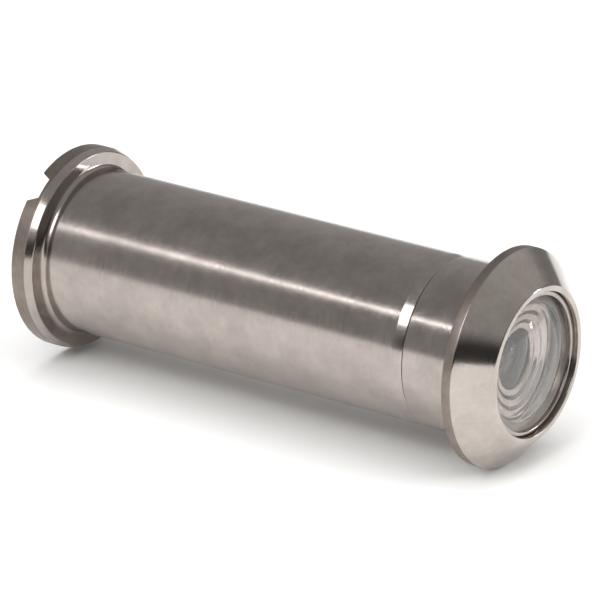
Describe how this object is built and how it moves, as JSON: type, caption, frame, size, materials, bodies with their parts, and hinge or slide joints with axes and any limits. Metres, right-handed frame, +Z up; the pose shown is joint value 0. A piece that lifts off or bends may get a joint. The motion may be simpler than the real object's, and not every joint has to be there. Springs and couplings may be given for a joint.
{
  "type": "door viewer",
  "caption": "Wide-angle door peephole: conical bezel with a domed lens, threaded stem, and a slotted flange sleeve that screws over it to clamp the door.",
  "frame": {"origin": "on the barrel's axis, in the plane of the bezel's back face, which seats on the door's outer face", "axes": "+Y along the barrel from the street side to the room side; +Z up; +X to the right seen from the street"},
  "size_m": [0.018, 0.0464, 0.018],
  "materials": {
    "nickel_plated_brass": "satin nickel plate over turned brass",
    "bare_brass": "bare turned brass",
    "clear_glass": "polished",
    "black_plastic": "matt moulded",
    "black_rubber": "soft",
    "pale_silicone": "translucent, dull"
  },
  "bodies": {
    "viewer_body": {"outer_body": "nickel_plated_brass", "objective_seal": "pale_silicone", "objective_lens": "clear_glass", "objective_ring": "nickel_plated_brass", "second_lens": "clear_glass", "lens_spacer": "black_plastic", "aperture_stop": "black_plastic", "third_lens": "clear_glass", "baffle_tube": "black_plastic", "stem_ring": "bare_brass"},
    "eyepiece_glass": {"eyepiece_lens": "clear_glass"},
    "sleeve": {"inner_sleeve": "nickel_plated_brass", "eyepiece_cushion": "black_rubber", "eyepiece_ring": "black_plastic"}
  },
  "joints": [
    {"name": "sleeve_travel", "type": "slide", "parent": "viewer_body", "child": "eyepiece_glass", "axis": [0, 1, 0], "range_m": [0, 0.02]},
    {"name": "sleeve_turn", "type": "hinge", "parent": "eyepiece_glass", "child": "sleeve", "pos_m": [0, 0.0411, 0], "axis": [0, 1, 0], "range_deg": [0, 7200]}
  ],
  "couplings": [
    {"joint": "sleeve_travel", "follows": "sleeve_turn", "m_per_rad": 0.00015915}
  ]
}
